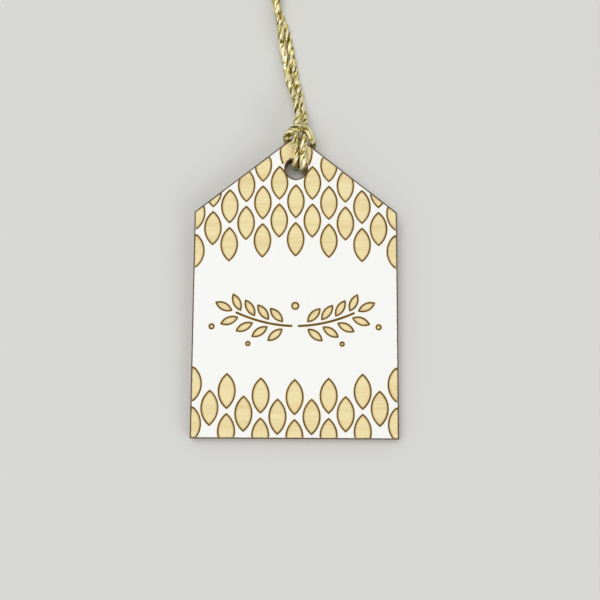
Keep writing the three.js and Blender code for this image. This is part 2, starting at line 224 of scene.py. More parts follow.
class HangTagColours(bpy.types.PropertyGroup):
    """Colours of the finishes."""

    wood: colour_property("Pale face veneer", "#F7E7B2")
    grain: colour_property("Darker lines of the grain", "#EAD39B")
    char: colour_property("Burnt line", "#8E6C2B")
    soot: colour_property("Darkest places of a burnt line", "#6C4E20")
    scorch: colour_property("Wood and coat browned by the beam's heat", "#A98545")
    edge: colour_property("Burnt cut edge of the coat", "#54391A")
    core: colour_property("Core veneer at the cut edge", "#7A5230")
    core_char: colour_property("Core veneer where it is charred", "#3A2514")
    coat: colour_property("White coat", "#FCFCFA")
    cream: colour_property("Coat tinted next to a burnt line", "#F3E7C4")
    gold: colour_property("Metal film on the cord", "#DDCA72")
    # Painted highlight: the film's brightest strips are painted this pale cream, and the same colour tints
    # its real reflection
    highlight_gold: colour_property("Brightest strips of the film", "#FFF7D2")
    # Painted shade: film between the plies and on strips turned from the light is painted this dark ochre
    painted_shade_gold: colour_property("Film seen between the plies", "#5E500C")
    floor: colour_property("Plain pale floor", "#DEDEDC")
    even_light: colour_property("Even light from all sides", "#F4F4F2")
    backdrop: colour_property("Pale surroundings, as seen and as mirrored", "#D4D4D2")


class HangTagStudio(bpy.types.PropertyGroup):
    """Light of the studio."""

    key_power: FloatProperty(description="Power of the lamp over the tag", default=8.5, min=0, unit="POWER")
    fill_power: FloatProperty(description="Power of the side lamp", default=3.2, min=0, unit="POWER")
    world_strength: share_property("Strength of the even light", 0.45, 0)


def setting_names(group):
    """Names of a property group's own settings."""
    return [name for name in group.bl_rna.properties.keys() if name not in ("rna_type", "name")]


# Sizes and meshes


def part_sizes():
    """The board's sizes and the cord's diameter in millimetres, with what follows from them."""
    board = bpy.context.scene.hang_tag_board
    size = SimpleNamespace(**{name: getattr(board, name) / MM for name in setting_names(board)})
    size.base_y = -size.height / 2
    size.point_y = size.height / 2
    size.shoulder_y = size.base_y + size.shoulder_height
    size.slope = (size.point_y - size.shoulder_y) / (size.width / 2)
    size.gable_angle = math.atan(size.slope)
    size.hole_y = size.point_y - size.hole_below_point
    size.wood = size.back_and_core + size.front_veneer
    size.face = size.wood + size.coat
    size.diameter = bpy.context.scene.hang_tag_cord.diameter / MM
    size.radius = size.diameter / 2
    # The hitch's parts, in its own frame
    size.strand_x = size.radius + CORD_GAP / 2
    size.front_z = size.face + WOOD_GAP + size.radius
    size.back_z = -WOOD_GAP - size.radius
    size.collar_y = size.hole_below_point + COLLAR_PAST_POINT
    size.collar_z = size.front_z + size.diameter + CORD_GAP
    size.pivot_y = size.collar_y + size.diameter + WOOD_GAP
    size.pivot_z = size.front_z - PIVOT_DROP
    size.wrap_out = size.radius + WRAP_GAP
    # The tag lies on its base and on the cord behind it, so in its frame the table falls to the point
    lifted_at = size.hole_y + LEG_ABOVE_HOLE_CENTRE + LEG_BEND - size.base_y
    size.table_slope = (WOOD_GAP + size.diameter) / lifted_at
    return size


def table_height(y, size):
    """Height of the table at y, in the tag's frame."""
    return -size.table_slope * (y - size.base_y)


def add_mesh(name, points, faces, material, smooth=True, **attributes):
    """A mesh object from points in millimetres, faces of any length and named values for each point."""
    mesh = bpy.data.meshes.new(name)
    mesh.from_pydata((np.reshape(points, (-1, 3)) * MM).tolist(), [], faces)
    for key, values in attributes.items():
        values = np.asarray(values, np.float32).ravel()
        is_vector = len(values) > len(mesh.vertices)
        layer = mesh.attributes.new(key, "FLOAT_VECTOR" if is_vector else "FLOAT", "POINT")
        layer.data.foreach_set("vector" if is_vector else "value", values)
    work = bmesh.new()
    work.from_mesh(mesh)
    bmesh.ops.remove_doubles(work, verts=work.verts, dist=MERGE_DISTANCE * MM)
    bmesh.ops.recalc_face_normals(work, faces=work.faces)
    work.to_mesh(mesh)
    work.free()
    mesh.polygons.foreach_set("use_smooth", [smooth] * len(mesh.polygons))
    mesh.materials.append(material)
    piece = bpy.data.objects.new(name, mesh)
    bpy.context.scene.collection.objects.link(piece)
    return piece


def ring_quads(outer, inner):
    """Quads between rings of point numbers of the same length, closed along the last axis."""
    quads = np.stack([outer, np.roll(outer, -1, -1), np.roll(inner, -1, -1), inner], -1)
    return quads.reshape(-1, 4).tolist()


# Cord route


def smooth_route(points, per_span):
    """A smooth line through the points, per_span samples to a span.

    Each span is a cubic with the slopes of a centripetal Catmull-Rom spline. Each end goes on straight for
    one more point.
    """
    points = np.asarray(points, float)
    before = 2 * points[:1] - points[1:2]
    after = 2 * points[-1:] - points[-2:-1]
    p = np.concatenate([before, points, after])
    knots = np.sqrt(np.linalg.norm(np.diff(p, axis=0), axis=1))[:, None]
    d0, d1, d2 = knots[:-2], knots[1:-1], knots[2:]
    p0, p1, p2, p3 = p[:-3], p[1:-2], p[2:-1], p[3:]
    leave = ((p1 - p0) / d0 - (p2 - p0) / (d0 + d1) + (p2 - p1) / d1) * d1
    arrive = ((p2 - p1) / d1 - (p3 - p1) / (d1 + d2) + (p3 - p2) / d2) * d1
    t = np.linspace(0, 1, per_span, endpoint=False)[None, :, None]
    p1, p2, leave, arrive = (part[:, None] for part in (p1, p2, leave, arrive))
    samples = (2 * t**3 - 3 * t**2 + 1) * p1 + (t**3 - 2 * t**2 + t) * leave
    samples = samples + (3 * t**2 - 2 * t**3) * p2 + (t**3 - t**2) * arrive
    return np.concatenate([samples.reshape(-1, 3), points[-1:]])


def place_hitch(points, size):
    """Points of the hitch, given from the hole's centre, leaned to the right and set on the tag."""
    x, y, z = np.asarray(points, float).T
    cos, sin = math.cos(HITCH_LEAN), math.sin(HITCH_LEAN)
    return np.stack([x * cos + y * sin, size.hole_y + y * cos - x * sin, z], 1)


def hitch_side(side, size):
    """One side of the hitch: over the face, through the hole, up behind the wood and round to the collar.

    The right leg goes through the hole further out and lower than the left one.
    """
    strand_x = side * size.strand_x + HITCH_SHIFT
    leg_x = side * size.strand_x + LEG_SHIFT
    turn_y = LEG_ABOVE_HOLE_CENTRE - side * LEG_DROP + LEG_BEND
    from_point = WRAP_FROM_POINT + side * HITCH_SHIFT
    edge_y = size.hole_below_point - size.slope * from_point
    across, along = math.sin(size.gable_angle), math.cos(size.gable_angle)

    def bend(centre_z, start, stop):
        angles = np.radians(np.linspace(start, stop, 4))
        return [(leg_x, turn_y + LEG_BEND * math.cos(a), centre_z + LEG_BEND * math.sin(a)) for a in angles]

    def from_edge(out, z):
        return (side * (from_point + out * across), edge_y + out * along, z)

    front_z, back_z, collar_y, collar_z = size.front_z, size.back_z, size.collar_y, size.collar_z
    return [
        (strand_x, size.pivot_y - size.radius - END_GAP, size.pivot_z + 0.35),
        (strand_x, collar_y, front_z - 0.05),
        (strand_x + 0.1, size.hole_below_point - 2, front_z),
        *bend(front_z - LEG_BEND, 90, 180),
        *bend(back_z + LEG_BEND, 180, 270),
        from_edge(-1.2, back_z),
        from_edge(0.1, back_z - 0.05),
        from_edge(0.8 * size.wrap_out, back_z + 0.45),
        from_edge(size.wrap_out, 0.45),
        from_edge(size.wrap_out, size.face - 0.3),
        from_edge(0.8 * size.wrap_out, size.face + 0.95),
        (side * 2.88 + HITCH_SHIFT, collar_y - 1.6, collar_z - 1.05),
        (side * 2.1 + HITCH_SHIFT, collar_y - 0.75, collar_z - 0.3),
        (side * 1.05 + HITCH_SHIFT, collar_y - 0.18, collar_z),
    ]


def hitch_points(size):
    """The whole hitch from its left standing end to its right one, on the tag."""
    middle = (HITCH_SHIFT, size.collar_y, size.collar_z + 0.05)
    return place_hitch([*hitch_side(-1, size), middle, *hitch_side(1, size)[::-1]], size)


def knot_points(side, size):
    """One cord of the knot: in from the eye, up through the core, once round both cords, up again and out.

    The points are turned to the knot's heading and set on the table.
    """
    core, half, wrap = KNOT_CORE_SPACING, KNOT_CORE_HALF, KNOT_WRAP_RADIUS
    lift = side * core
    share = np.linspace(0, 1, 13)
    angle = math.pi * (1.02 - 2.04 * share)
    along = KNOT_WRAP_HALF * (1 - 2 * share) + side * KNOT_PAIR_OFFSET
    turn = np.stack([wrap * np.cos(angle), along, wrap * np.sin(angle)], 1).tolist()
    points = [
        (side * 4.2, -half - 3.4, -1.35),
        (side * 1.7, -half - 1.6, -0.5),
        (-core, -half, lift),
        (-core, 0, lift),
        (-core - 0.4, half, lift * 0.9),
        *turn,
        (-core * 0.6, -half + side * 0.3 - 0.5, lift * 0.8),
        (core, -half + 1.2, lift),
        (core, half, lift),
        (core + side * 0.5, half + 2.5, lift * 0.9 - 0.8),
        (core + side * 1.6, half + KNOT_TAIL - 2.5, size.radius - wrap - 0.5),
        (core + side * 2.4, half + KNOT_TAIL, -wrap),
    ]
    x, y, z = np.asarray(points, float).T
    cos, sin = math.cos(KNOT_HEADING), math.sin(KNOT_HEADING)
    centre_x, centre_y = KNOT_PLACE
    centre_z = table_height(centre_y, size) + wrap + size.radius
    return np.stack([centre_x + x * cos - y * sin, centre_y + x * sin + y * cos, centre_z + z], 1)


def strand_points(side, path, size):
    """A free strand from its pivot at the hitch to just before the knot, by its points on the table."""
    pivot = (side * size.strand_x + HITCH_SHIFT, size.pivot_y, size.pivot_z)
    start_x = side * (size.strand_x - STRANDS_DRAWN_IN) + HITCH_SHIFT
    start_z = size.pivot_z - STRAND_START_DROP - side * STRAND_START_TILT
    first = place_hitch([pivot, (start_x, size.pivot_y + STRAND_START_REACH, start_z)], size)
    x, y, lift = np.array(path).T
    lying = np.stack([x, y, table_height(y, size) + size.radius + lift], 1)
    end, before = knot_points(-side, size)[:2]
    heading = (before - end) / np.linalg.norm(before - end)
    return np.concatenate([first, lying, [end - heading * (END_GAP + KNOT_LEAD)]])


def twist_free_sides(line, tangent):
    """A direction across the line that turns with it but never about it.

    A rough side direction at each point is carried one step on by two reflections. The angle that it then
    lacks to the next rough direction is summed along the line, and each is turned by its sum.
    """
    least = np.argmin(np.abs(tangent), 1)
    rough = np.cross(tangent, np.eye(3)[least])
    rough /= np.linalg.norm(rough, axis=1)[:, None]
    other = np.cross(tangent, rough)

    def reflect(vectors, across):
        return vectors - 2 * (vectors * across).sum(1)[:, None] / (across * across).sum(1)[:, None] * across

    step = np.diff(line, axis=0)
    turned = reflect(tangent[:-1], step)
    carried = reflect(reflect(rough[:-1], step), tangent[1:] - turned)
    lack = np.arctan2((carried * other[1:]).sum(1), (carried * rough[1:]).sum(1))
    angle = np.concatenate([[0], np.cumsum(lack)])[:, None]
    return rough * np.cos(angle) + other * np.sin(angle)


def cord_route():
    """The one cord from tail to tail, as points at even steps, its sides, and where its parts meet."""
    size = part_sizes()
    parts = [
        knot_points(1, size)[::-1],
        strand_points(-1, LEFT_PATH, size)[::-1],
        hitch_points(size),
        strand_points(1, RIGHT_PATH, size),
        knot_points(-1, size),
    ]
    dense = smooth_route(np.concatenate(parts), SAMPLES_PER_SPAN)
    reach = np.concatenate([[0], np.cumsum(np.linalg.norm(np.diff(dense, axis=0), axis=1))])
    steps = math.ceil(reach[-1] / (bpy.context.scene.hang_tag_cord.ring_step / MM))
    even = np.linspace(0, reach[-1], steps + 1)
    line = np.stack([np.interp(even, reach, dense[:, axis]) for axis in range(3)], 1)
    tangent = np.gradient(line, axis=0)
    tangent /= np.linalg.norm(tangent, axis=1)[:, None]
    # A knot's cord meets its strand halfway between two points, and the hitch ends at a strand's first point
    counts = np.cumsum([len(part) for part in parts])
    joins = (counts[0] - 0.5, counts[1] - 1, counts[2], counts[3] - 0.5)
    cuts = [int(round(reach[int(join * SAMPLES_PER_SPAN)] / reach[-1] * steps)) for join in joins]
    return SimpleNamespace(
        line=line,
        tangent=tangent,
        sides=twist_free_sides(line, tangent),
        along=even,
        cuts=[0, *cuts, steps],
        diameter=size.diameter,
    )


def cord_piece(name, route, first, last, material):
    """The twisted cord between two steps of its route.

    Several round plies have their middles off the axis. Round the cord, the radius is where a line from the
    axis leaves the nearest ply. The section turns once for each lay. A ring shrunk to its middle closes each
    end. The mesh's attribute holds the place of each point on the cord laid out straight and untwisted.
    """
    cord = bpy.context.scene.hang_tag_cord
    angles = np.linspace(0, 2 * math.pi, cord.around, endpoint=False)
    sector = 2 * math.pi / cord.plies
    off_ply = (angles + sector / 2) % sector - sector / 2
    ply = 1 - cord.ply_offset
    section = cord.ply_offset * np.cos(off_ply) + np.sqrt(ply**2 - (cord.ply_offset * np.sin(off_ply)) ** 2)
    rows = [first, *range(first, last + 1), last]
    spread = np.ones((len(rows), 1))
    spread[[0, -1]] = 0
    section = spread * (section * cord.crown * (route.diameter / 2))
    parts = (route.line, route.tangent, route.sides, route.along)
    line, tangent, sides, along = (part[rows] for part in parts)
    ups = np.cross(tangent, sides)
    turned = angles[None, :] + 2 * math.pi * along[:, None] / (cord.lay / MM)
    out = np.cos(turned)[..., None] * sides[:, None] + np.sin(turned)[..., None] * ups[:, None]
    points = line[:, None] + section[..., None] * out
    places = along[:, None] + 0 * angles
    straight = np.stack([section * np.cos(angles), section * np.sin(angles), places], -1)
    numbers = np.arange(section.size).reshape(section.shape)
    quads = ring_quads(numbers[:-1], numbers[1:])
    return add_mesh(name, points, quads, material, straight=straight)


# Scored face


def field_leaves(size):
    """Leaves that hang from the gable and stand on the base in staggered columns.

    Each row is x, y, length, width and turn. The last one is the broad leaf under the hitch.
    """
    leaves = []
    length, width = size.leaf_length, size.leaf_width
    period = length + size.leaf_gap
    columns = round(size.width / 2 / size.column_pitch)
    for column in range(-columns, columns + 1):
        x = column * size.column_pitch
        arch = FIELD_ARCH * (1 - (2 * x / size.width) ** 2)
        stagger = period / 2 if column % 2 else 0
        gable = size.point_y - size.slope * abs(x)
        y = UPPER_FIELD_BOTTOM + arch + stagger + length / 2
        while y < gable + length / 4:
            if abs(column) > 1 or y <= size.hole_y:
                leaves.append((x, y, length, width, 0))
            y += period
        y = LOWER_FIELD_TOP - arch - stagger - length / 2
        while y > size.base_y - length / 4:
            leaves.append((x, y, length, width, 0))
            y -= period
    leaves.append((0, size.hole_y + HITCH_LEAF_ABOVE_HOLE_CENTRE, HITCH_LEAF_LENGTH, HITCH_LEAF_WIDTH, 0))
    return leaves


def stem_at(along):
    """Place and heading on the right stem: x grows evenly and y with the square."""
    heading = np.arctan2(2 * SPRIG_CURL * along, SPRIG_REACH)
    return SPRIG_REACH * along, SPRIG_HEIGHT + SPRIG_CURL * along**2, heading


def sprig_leaves():
    """Leaves in pairs along two stems, one at each tip, and the round berries."""
    leaves = []
    for side in (-1, 1):
        for pair in range(SPRIG_PAIRS + 1):
            x, y, heading = stem_at((pair + SPRIG_FIRST_PAIR) / (SPRIG_PAIRS + SPRIG_FIRST_PAIR))
            for flank in (-1, 1) if pair < SPRIG_PAIRS else (0,):
                lean = heading + flank * SPRIG_LEAF_TURN
                off = SPRIG_LEAF_OFF_STEM if flank else SPRIG_TIP_PAST_STEM
                place = side * (x + off * math.cos(lean)), y + off * math.sin(lean)
                leaves.append((*place, SPRIG_LEAF_LENGTH, SPRIG_LEAF_WIDTH, side * (lean - math.pi / 2)))
    leaves += [(x, y, diameter, diameter, 0) for x, y, diameter in BERRIES]
    return leaves


def leaf_rings(size):
    """Every leaf as rings from the coat round it to its middle, with each point's distance into the leaf.

    A leaf is what two equal discs have in common, less what lies outside the tag's rim or inside the hole's.
    From its most open point, rays go out evenly. A ring lies where they meet the discs shrunk by its inset.
    """
    leaves = np.array(field_leaves(size) + sprig_leaves())
    middle = leaves[:, :2]
    length, width, turn = leaves[:, 2:].T
    radius = (length**2 + width**2) / (4 * width)
    across = np.stack([np.cos(turn), np.sin(turn)], 1)
    axis = np.stack([-np.sin(turn), np.cos(turn)], 1)
    shift = (radius - width / 2)[:, None] * across
    discs = np.stack([middle - shift, middle + shift], 1)
    cos, sin = math.cos(size.gable_angle), math.sin(size.gable_angle)
    planes = np.array([[1, 0], [-1, 0], [0, -1], [sin, cos], [-sin, cos]])
    half, gable = size.width / 2, size.point_y * cos
    reach = np.array([half, half, -size.base_y, gable, gable]) - COAT_RIM
    hole = np.array([0, size.hole_y])
    hole_radius = size.hole_diameter / 2 + HOLE_RIM

    def into_discs(points):
        """Distance from points, one row of them a leaf, to the nearer of its two arcs."""
        away = np.linalg.norm(points[:, :, None] - discs[:, None], axis=-1)
        return (radius[:, None, None] - away).min(-1)

    share = np.linspace(-0.5, 0.5, GRID_STEPS)
    u, v = (grid.ravel() for grid in np.meshgrid(share, share))
    sideways = (u * width[:, None])[..., None] * across[:, None]
    lengthways = (v * length[:, None])[..., None] * axis[:, None]
    tries = middle[:, None] + sideways + lengthways
    inside = (reach - tries @ planes.T).min(-1)
    beside = np.linalg.norm(tries - hole, axis=-1) - hole_radius
    room = np.minimum(np.minimum(into_discs(tries), inside), beside)
    best = room.argmax(1)
    keep = room.max(1) > LEAST_ROOM
    origin = tries[np.arange(len(tries)), best][keep]
    discs, radius, turn = discs[keep], radius[keep], turn[keep]
    spare = into_discs(origin[:, None])[:, 0]

    angle = turn[:, None] + math.pi / 2 + np.linspace(0, 2 * math.pi, ISLAND_RAYS, endpoint=False)
    ray = np.stack([np.cos(angle), np.sin(angle)], -1)
    facing = ray @ planes.T

    def meet(centre, circle_radius):
        """How far along each ray a circle's centre is nearest, and the square of half the chord there."""
        to_centre = centre - origin
        nearest = (ray * to_centre[:, None]).sum(-1)
        return nearest, nearest**2 - ((to_centre**2).sum(-1) - circle_radius**2)[:, None]

    rings = []
    for number, (inset, most) in enumerate(SCORE_RINGS):
        shrink = np.minimum(inset, most * spare)
        clip = RIM_STEP * (number - 1) if number else -RIM_HALO
        gap = (reach - clip - origin @ planes.T)[:, None, :]
        to_rim = np.divide(gap, facing, out=np.full(facing.shape, np.inf), where=facing > 1e-9)
        lengths = [to_rim.min(-1)]
        for disc in (0, 1):
            nearest, chord = meet(discs[:, disc], radius - shrink)
            lengths.append(nearest + np.sqrt(np.maximum(chord, 0)))
        nearest, chord = meet(hole, hole_radius + clip)
        crosses = (chord > 0) & (nearest > 0)
        lengths.append(np.where(crosses, nearest - np.sqrt(np.maximum(chord, 0)), np.inf))
        rings.append(origin[:, None] + np.min(lengths, 0)[..., None] * ray)
    rings.append(np.repeat(origin[:, None], ISLAND_RAYS, 1))
    return np.stack(rings, 1), np.stack([into_discs(ring) for ring in rings], 1)


def stem_rings(size):
    """The two stems as rings: the outline of a narrow slot with round ends, drawn in to its middle line."""
    first = STEM_FROM_MIDDLE / SPRIG_REACH
    last = 1 - (SPRIG_LEAF_LENGTH / 2 + size.leaf_gap - SPRIG_TIP_PAST_STEM) / SPRIG_REACH
    x, y, heading = stem_at(np.linspace(first, last, ISLAND_RAYS // 2 - CAP_RAYS))
    path = np.stack([x, y], 1)
    cap = np.linspace(0, math.pi, CAP_RAYS + 2)[1:-1]
    spine, angle = [], []
    for way, turn in ((1, -math.pi / 2), (-1, math.pi / 2)):
        spine += [path[::way], np.repeat(path[::way][-1:], CAP_RAYS, 0)]
        angle += [heading[::way] + turn, heading[::way][-1] + turn + cap]
    angle = np.concatenate(angle)
    out = np.stack([np.cos(angle), np.sin(angle)], 1)
    insets = np.array(STEM_INSETS)
    ring = np.concatenate(spine)[None] + (STEM_WIDTH / 2 - insets)[:, None, None] * out[None]
    depth = np.repeat(insets[:, None], ISLAND_RAYS, 1)
    mirrored = (ring * (-1, 1))[:, ::-1]
    return np.stack([mirrored, ring]), np.stack([depth, depth])


def island_rings(size):
    """All openings in the coat, each as rings of points and their distances into the opening."""
    return [np.concatenate(pair) for pair in zip(leaf_rings(size), stem_rings(size))]


def rims(size):
    """The tag's outline and the hole's, counter-clockwise."""
    half = size.width / 2
    outline = [
        (-half, size.base_y), (half, size.base_y), (half, size.shoulder_y),
        (0, size.point_y), (-half, size.shoulder_y),
    ]
    angle = np.linspace(0, 2 * math.pi, HOLE_STEPS, endpoint=False)
    radius = size.hole_diameter / 2
    return [np.array(outline), np.stack([radius * np.cos(angle), size.hole_y + radius * np.sin(angle)], 1)]


class SheetBuilder:
    """Collects points, faces and distances into the leaves for a flat sheet of the tag."""

    def __init__(self):
        self.points, self.depths, self.faces, self.count = [], [], [], 0

    def add(self, places, heights, depths):
        """Adds flat places with their heights and depths. Returns their numbers in the same layout."""
        layout = np.shape(places)[:-1]
        numbers = self.count + np.arange(math.prod(layout)).reshape(layout)
        flat = np.reshape(places, (-1, 2))
        self.points.append(np.column_stack([flat, np.broadcast_to(heights, layout).ravel()]))
        self.depths.append(np.broadcast_to(depths, layout).ravel())
        self.count += numbers.size
        return numbers

    def bridge(self, outer, inner):
        self.faces += ring_quads(outer, inner)

    def fill(self, loops, height, depths):
        """A flat sheet inside the first loop and outside the others. Returns the loops' numbers."""
        numbers = [self.add(loop, height, depth) for loop, depth in zip(loops, depths)]
        triangles = tessellate_polygon([[Vector((*point, 0)) for point in loop] for loop in loops])
        self.faces += np.concatenate(numbers)[np.array(triangles)].tolist()
        return numbers

    def piece(self, name, material):
        points, depths = np.concatenate(self.points), np.concatenate(self.depths)
        return add_mesh(name, points, self.faces, material, smooth=False, into_leaf=depths)


def score_height(depths, size):
    """Height of the wood at a distance into a leaf: a groove with sloping sides, then level."""
    return size.wood - size.score_depth * np.interp(depths / size.score_width, GROOVE_WIDTHS, GROOVE_DEPTHS)


def coat_piece(size, rings, material):
    """The white coat: a thin sheet with an opening over each leaf, closed all round."""
    sheet = SheetBuilder()
    count = len(rings)
    upper = sheet.fill([*rims(size), *rings[:, 0]], size.face, [PLAIN_COAT] * 2 + [-HALO] * count)
    edge = sheet.add(rings[:, 1], size.face, 0.0)
    sheet.bridge(np.stack(upper[2:]), edge)
    lower = sheet.fill([*rims(size), *rings[:, 1]], size.wood, [PLAIN_COAT] * 2 + [0.0] * count)
    sheet.bridge(edge, np.stack(lower[2:]))
    for rim in (0, 1):
        sheet.bridge(upper[rim], lower[rim])
    return sheet.piece("white_coat", material)


def scored_veneer_piece(size, rings, depths, material):
    """The front veneer: a closed sheet with a burnt groove just inside each opening of the coat."""
    sheet = SheetBuilder()
    plain = [PLAIN_WOOD] * 2
    upper = sheet.fill([*rims(size), *rings[:, 1]], size.wood, [*plain, *depths[:, 1]])
    inner = sheet.add(rings[:, 2:], score_height(depths[:, 2:], size), depths[:, 2:])
    sheet.bridge(np.stack(upper[2:]), inner[:, 0])
    sheet.bridge(inner[:, :-1], inner[:, 1:])
    lower = sheet.fill(rims(size), size.back_and_core, plain)
    for rim in (0, 1):
        sheet.bridge(upper[rim], lower[rim])
    return sheet.piece("scored_veneer", material)


# Materials


def fill_inputs(tree, node, inputs):
    """Fills a node's inputs with values, or links them to sockets or to the first outputs of nodes."""
    for name, value in inputs.items():
        if isinstance(value, bpy.types.Node):
            value = value.outputs[0]
        if isinstance(value, bpy.types.NodeSocket):
            tree.links.new(value, node.inputs[name])
        else:
            node.inputs[name].default_value = value


def add_node(tree, kind, inputs=None, stops=(), **settings):
    """One shader node with its settings, its ramp's stops and its inputs. A third stop may lie anywhere."""
    node = tree.nodes.new("ShaderNode" + kind)
    for name, value in settings.items():
        setattr(node, name, value)
    for place, (position, colour) in enumerate(stops):
        element = node.color_ramp.elements[place] if place < 2 else node.color_ramp.elements.new(position)
        element.position, element.color = position, colour
    fill_inputs(tree, node, inputs or {})
    return node


def new_material(name):
    """A material with a shader and an output, with its tree and its shader."""
    material = bpy.data.materials.new(name)
    material.use_nodes = True
    tree = material.node_tree
    tree.nodes.clear()
    shader = add_node(tree, "BsdfPrincipled")
    add_node(tree, "OutputMaterial", {"Surface": shader})
    return material, tree, shader


def board_place(tree):
    """Object coordinates in millimetres."""
    object_place = add_node(tree, "TexCoord").outputs["Object"]
    return add_node(tree, "VectorMath", {0: object_place, 3: 1 / MM}, operation="SCALE")


def cut_edge_char(tree, place, size):
    """How burnt the board is by the laser's cut: 1 at the outline and the hole's edge, 0 from 0.4 mm inside.

    The distance is the least of those to the two sides, the base, the gable's slopes and the hole's circle.
    """
    parts = add_node(tree, "SeparateXYZ", {0: place})
    x = add_node(tree, "Math", {0: parts}, operation="ABSOLUTE")
    y = parts.outputs["Y"]
    least = add_node(tree, "Math", {0: size.width / 2, 1: x}, operation="SUBTRACT")
    base = add_node(tree, "Math", {0: y, 1: -size.base_y}, operation="ADD")
    fall = add_node(tree, "Math", {0: x, 1: size.slope, 2: y}, operation="MULTIPLY_ADD")
    below = add_node(tree, "Math", {0: size.point_y, 1: fall}, operation="SUBTRACT")
    gable = add_node(tree, "Math", {0: below, 1: math.cos(size.gable_angle)}, operation="MULTIPLY")
    flat = add_node(tree, "CombineXYZ", {0: parts, 1: y})
    to_hole = {0: flat, 1: (0, size.hole_y, 0)}
    away = add_node(tree, "VectorMath", to_hole, operation="DISTANCE").outputs["Value"]
    hole = add_node(tree, "Math", {0: away, 1: size.hole_diameter / 2}, operation="SUBTRACT")
    for other in (base, gable, hole):
        least = add_node(tree, "Math", {0: least, 1: other}, operation="MINIMUM")
    uneven = add_node(tree, "TexNoise", {"Vector": place, "Scale": 0.9, "Detail": 3.0})
    width = add_node(tree, "MapRange", {0: uneven, 1: 0.3, 2: 0.7, 3: 0.32, 4: 0.46})
    fade = {0: least, 1: 0.22, 2: width, 3: 1.0, 4: 0.0}
    return add_node(tree, "MapRange", fade, interpolation_type="SMOOTHSTEP")


def veneer_material(name, scored):
    """Basswood face veneer, sliced and sanded, with its fine grain across the tag.

    It is pale and almost matt. The laser has browned its cut edges nearly black and burnt the scored lines.
    """
    size = part_sizes()
    colours = bpy.context.scene.hang_tag_colours
    material, tree, shader = new_material(name)
    place = board_place(tree)
    stretched = add_node(tree, "Mapping", {"Vector": place, "Scale": (0.045, 1.0, 1.0)})
    # Growth bands about 4 mm apart, and vessels that are really 0.1 mm, drawn at 0.35 mm so that they show
    bands = add_node(tree, "TexNoise", {"Vector": stretched, "Scale": 0.28, "Detail": 3.0})
    lines = add_node(tree, "TexNoise", {"Vector": stretched, "Scale": 2.6, "Detail": 4.0, "Roughness": 0.65})
    grain = add_node(tree, "Math", {0: lines, 1: 0.65}, operation="MULTIPLY")
    grain = add_node(tree, "Math", {0: bands, 1: 0.5, 2: grain}, operation="MULTIPLY_ADD")
    wood = add_node(tree, "ValToRGB", {"Fac": grain}, stops=((0.42, colours.grain), (0.62, colours.wood)))
    char = cut_edge_char(tree, place, size)
    if scored:
        inset = add_node(tree, "Attribute", attribute_name="into_leaf").outputs["Fac"]
        width = size.score_width
        burnt_line = {0: inset, 1: width * 0.8, 2: width * 1.25, 3: 1.0, 4: 0.0}
        line = add_node(tree, "MapRange", burnt_line, interpolation_type="SMOOTHSTEP")
        warmed_wood = {0: inset, 1: width, 2: width * 2.3, 3: 0.45, 4: 0.0}
        warm = add_node(tree, "MapRange", warmed_wood, interpolation_type="SMOOTHSTEP")
        wood = add_node(tree, "Mix", {0: warm, 6: wood, 7: colours.scorch}, data_type="RGBA").outputs[2]
        char = add_node(tree, "Math", {0: char, 1: line}, operation="MAXIMUM")
    # Soot varies along a cut about every 2 mm
    soot = add_node(tree, "TexNoise", {"Vector": place, "Scale": 0.5, "Detail": 2.0})
    burnt = add_node(tree, "ValToRGB", {"Fac": soot}, stops=((0.35, colours.char), (0.7, colours.soot)))
    fill_inputs(tree, shader, {
        "Base Color": add_node(tree, "Mix", {0: char, 6: wood, 7: burnt}, data_type="RGBA").outputs[2],
        "Roughness": add_node(tree, "MapRange", {0: char, 1: 0.0, 2: 1.0, 3: 0.62, 4: 0.85}),
        "Specular IOR Level": 0.2,
        "Normal": add_node(tree, "Bump", {"Strength": 0.25, "Distance": 0.04 * MM, "Height": grain}),
    })
    return material


def core_material(name):
    """Poplar core veneer with its grain up the tag, seen only at the laser-cut edges, which are charred."""
    colours = bpy.context.scene.hang_tag_colours
    material, tree, shader = new_material(name)
    stretched = add_node(tree, "Mapping", {"Vector": board_place(tree), "Scale": (1.0, 0.2, 0.6)})
    fibres = add_node(tree, "TexNoise", {"Vector": stretched, "Scale": 2.2, "Detail": 4.0})
    stops = ((0.35, colours.core_char), (0.7, colours.core))
    fill_inputs(tree, shader, {
        "Base Color": add_node(tree, "ValToRGB", {"Fac": fibres}, stops=stops),
        "Roughness": 0.85,
        "Normal": add_node(tree, "Bump", {"Strength": 0.4, "Distance": 0.08 * MM, "Height": fibres}),
    })
    return material


def coat_material(name):
    """White lacquer, rolled on: smooth and half matt, tinted cream where the beam's heat reached it."""
    colours = bpy.context.scene.hang_tag_colours
    material, tree, shader = new_material(name)
    place = board_place(tree)
    inset = add_node(tree, "Attribute", attribute_name="into_leaf").outputs["Fac"]
    heat = add_node(tree, "MapRange", {0: inset, 1: -HALO, 2: 0.0, 3: 0.0, 4: 1.0})
    stops = ((0.0, colours.coat), (0.8, colours.cream), (1.0, colours.scorch))
    halo = add_node(tree, "ValToRGB", {"Fac": heat}, stops=stops)
    char = cut_edge_char(tree, place, part_sizes())
    # Roller texture about 0.8 mm across
    roll = add_node(tree, "TexNoise", {"Vector": place, "Scale": 1.2, "Detail": 3.0})
    fill_inputs(tree, shader, {
        "Base Color": add_node(tree, "Mix", {0: char, 6: halo, 7: colours.edge}, data_type="RGBA").outputs[2],
        "Roughness": add_node(tree, "MapRange", {0: roll, 1: 0.3, 2: 0.7, 3: 0.42, 4: 0.52}),
        "Specular IOR Level": 0.25,
        "Normal": add_node(tree, "Bump", {"Strength": 0.12, "Distance": 0.03 * MM, "Height": roll}),
    })
    return material


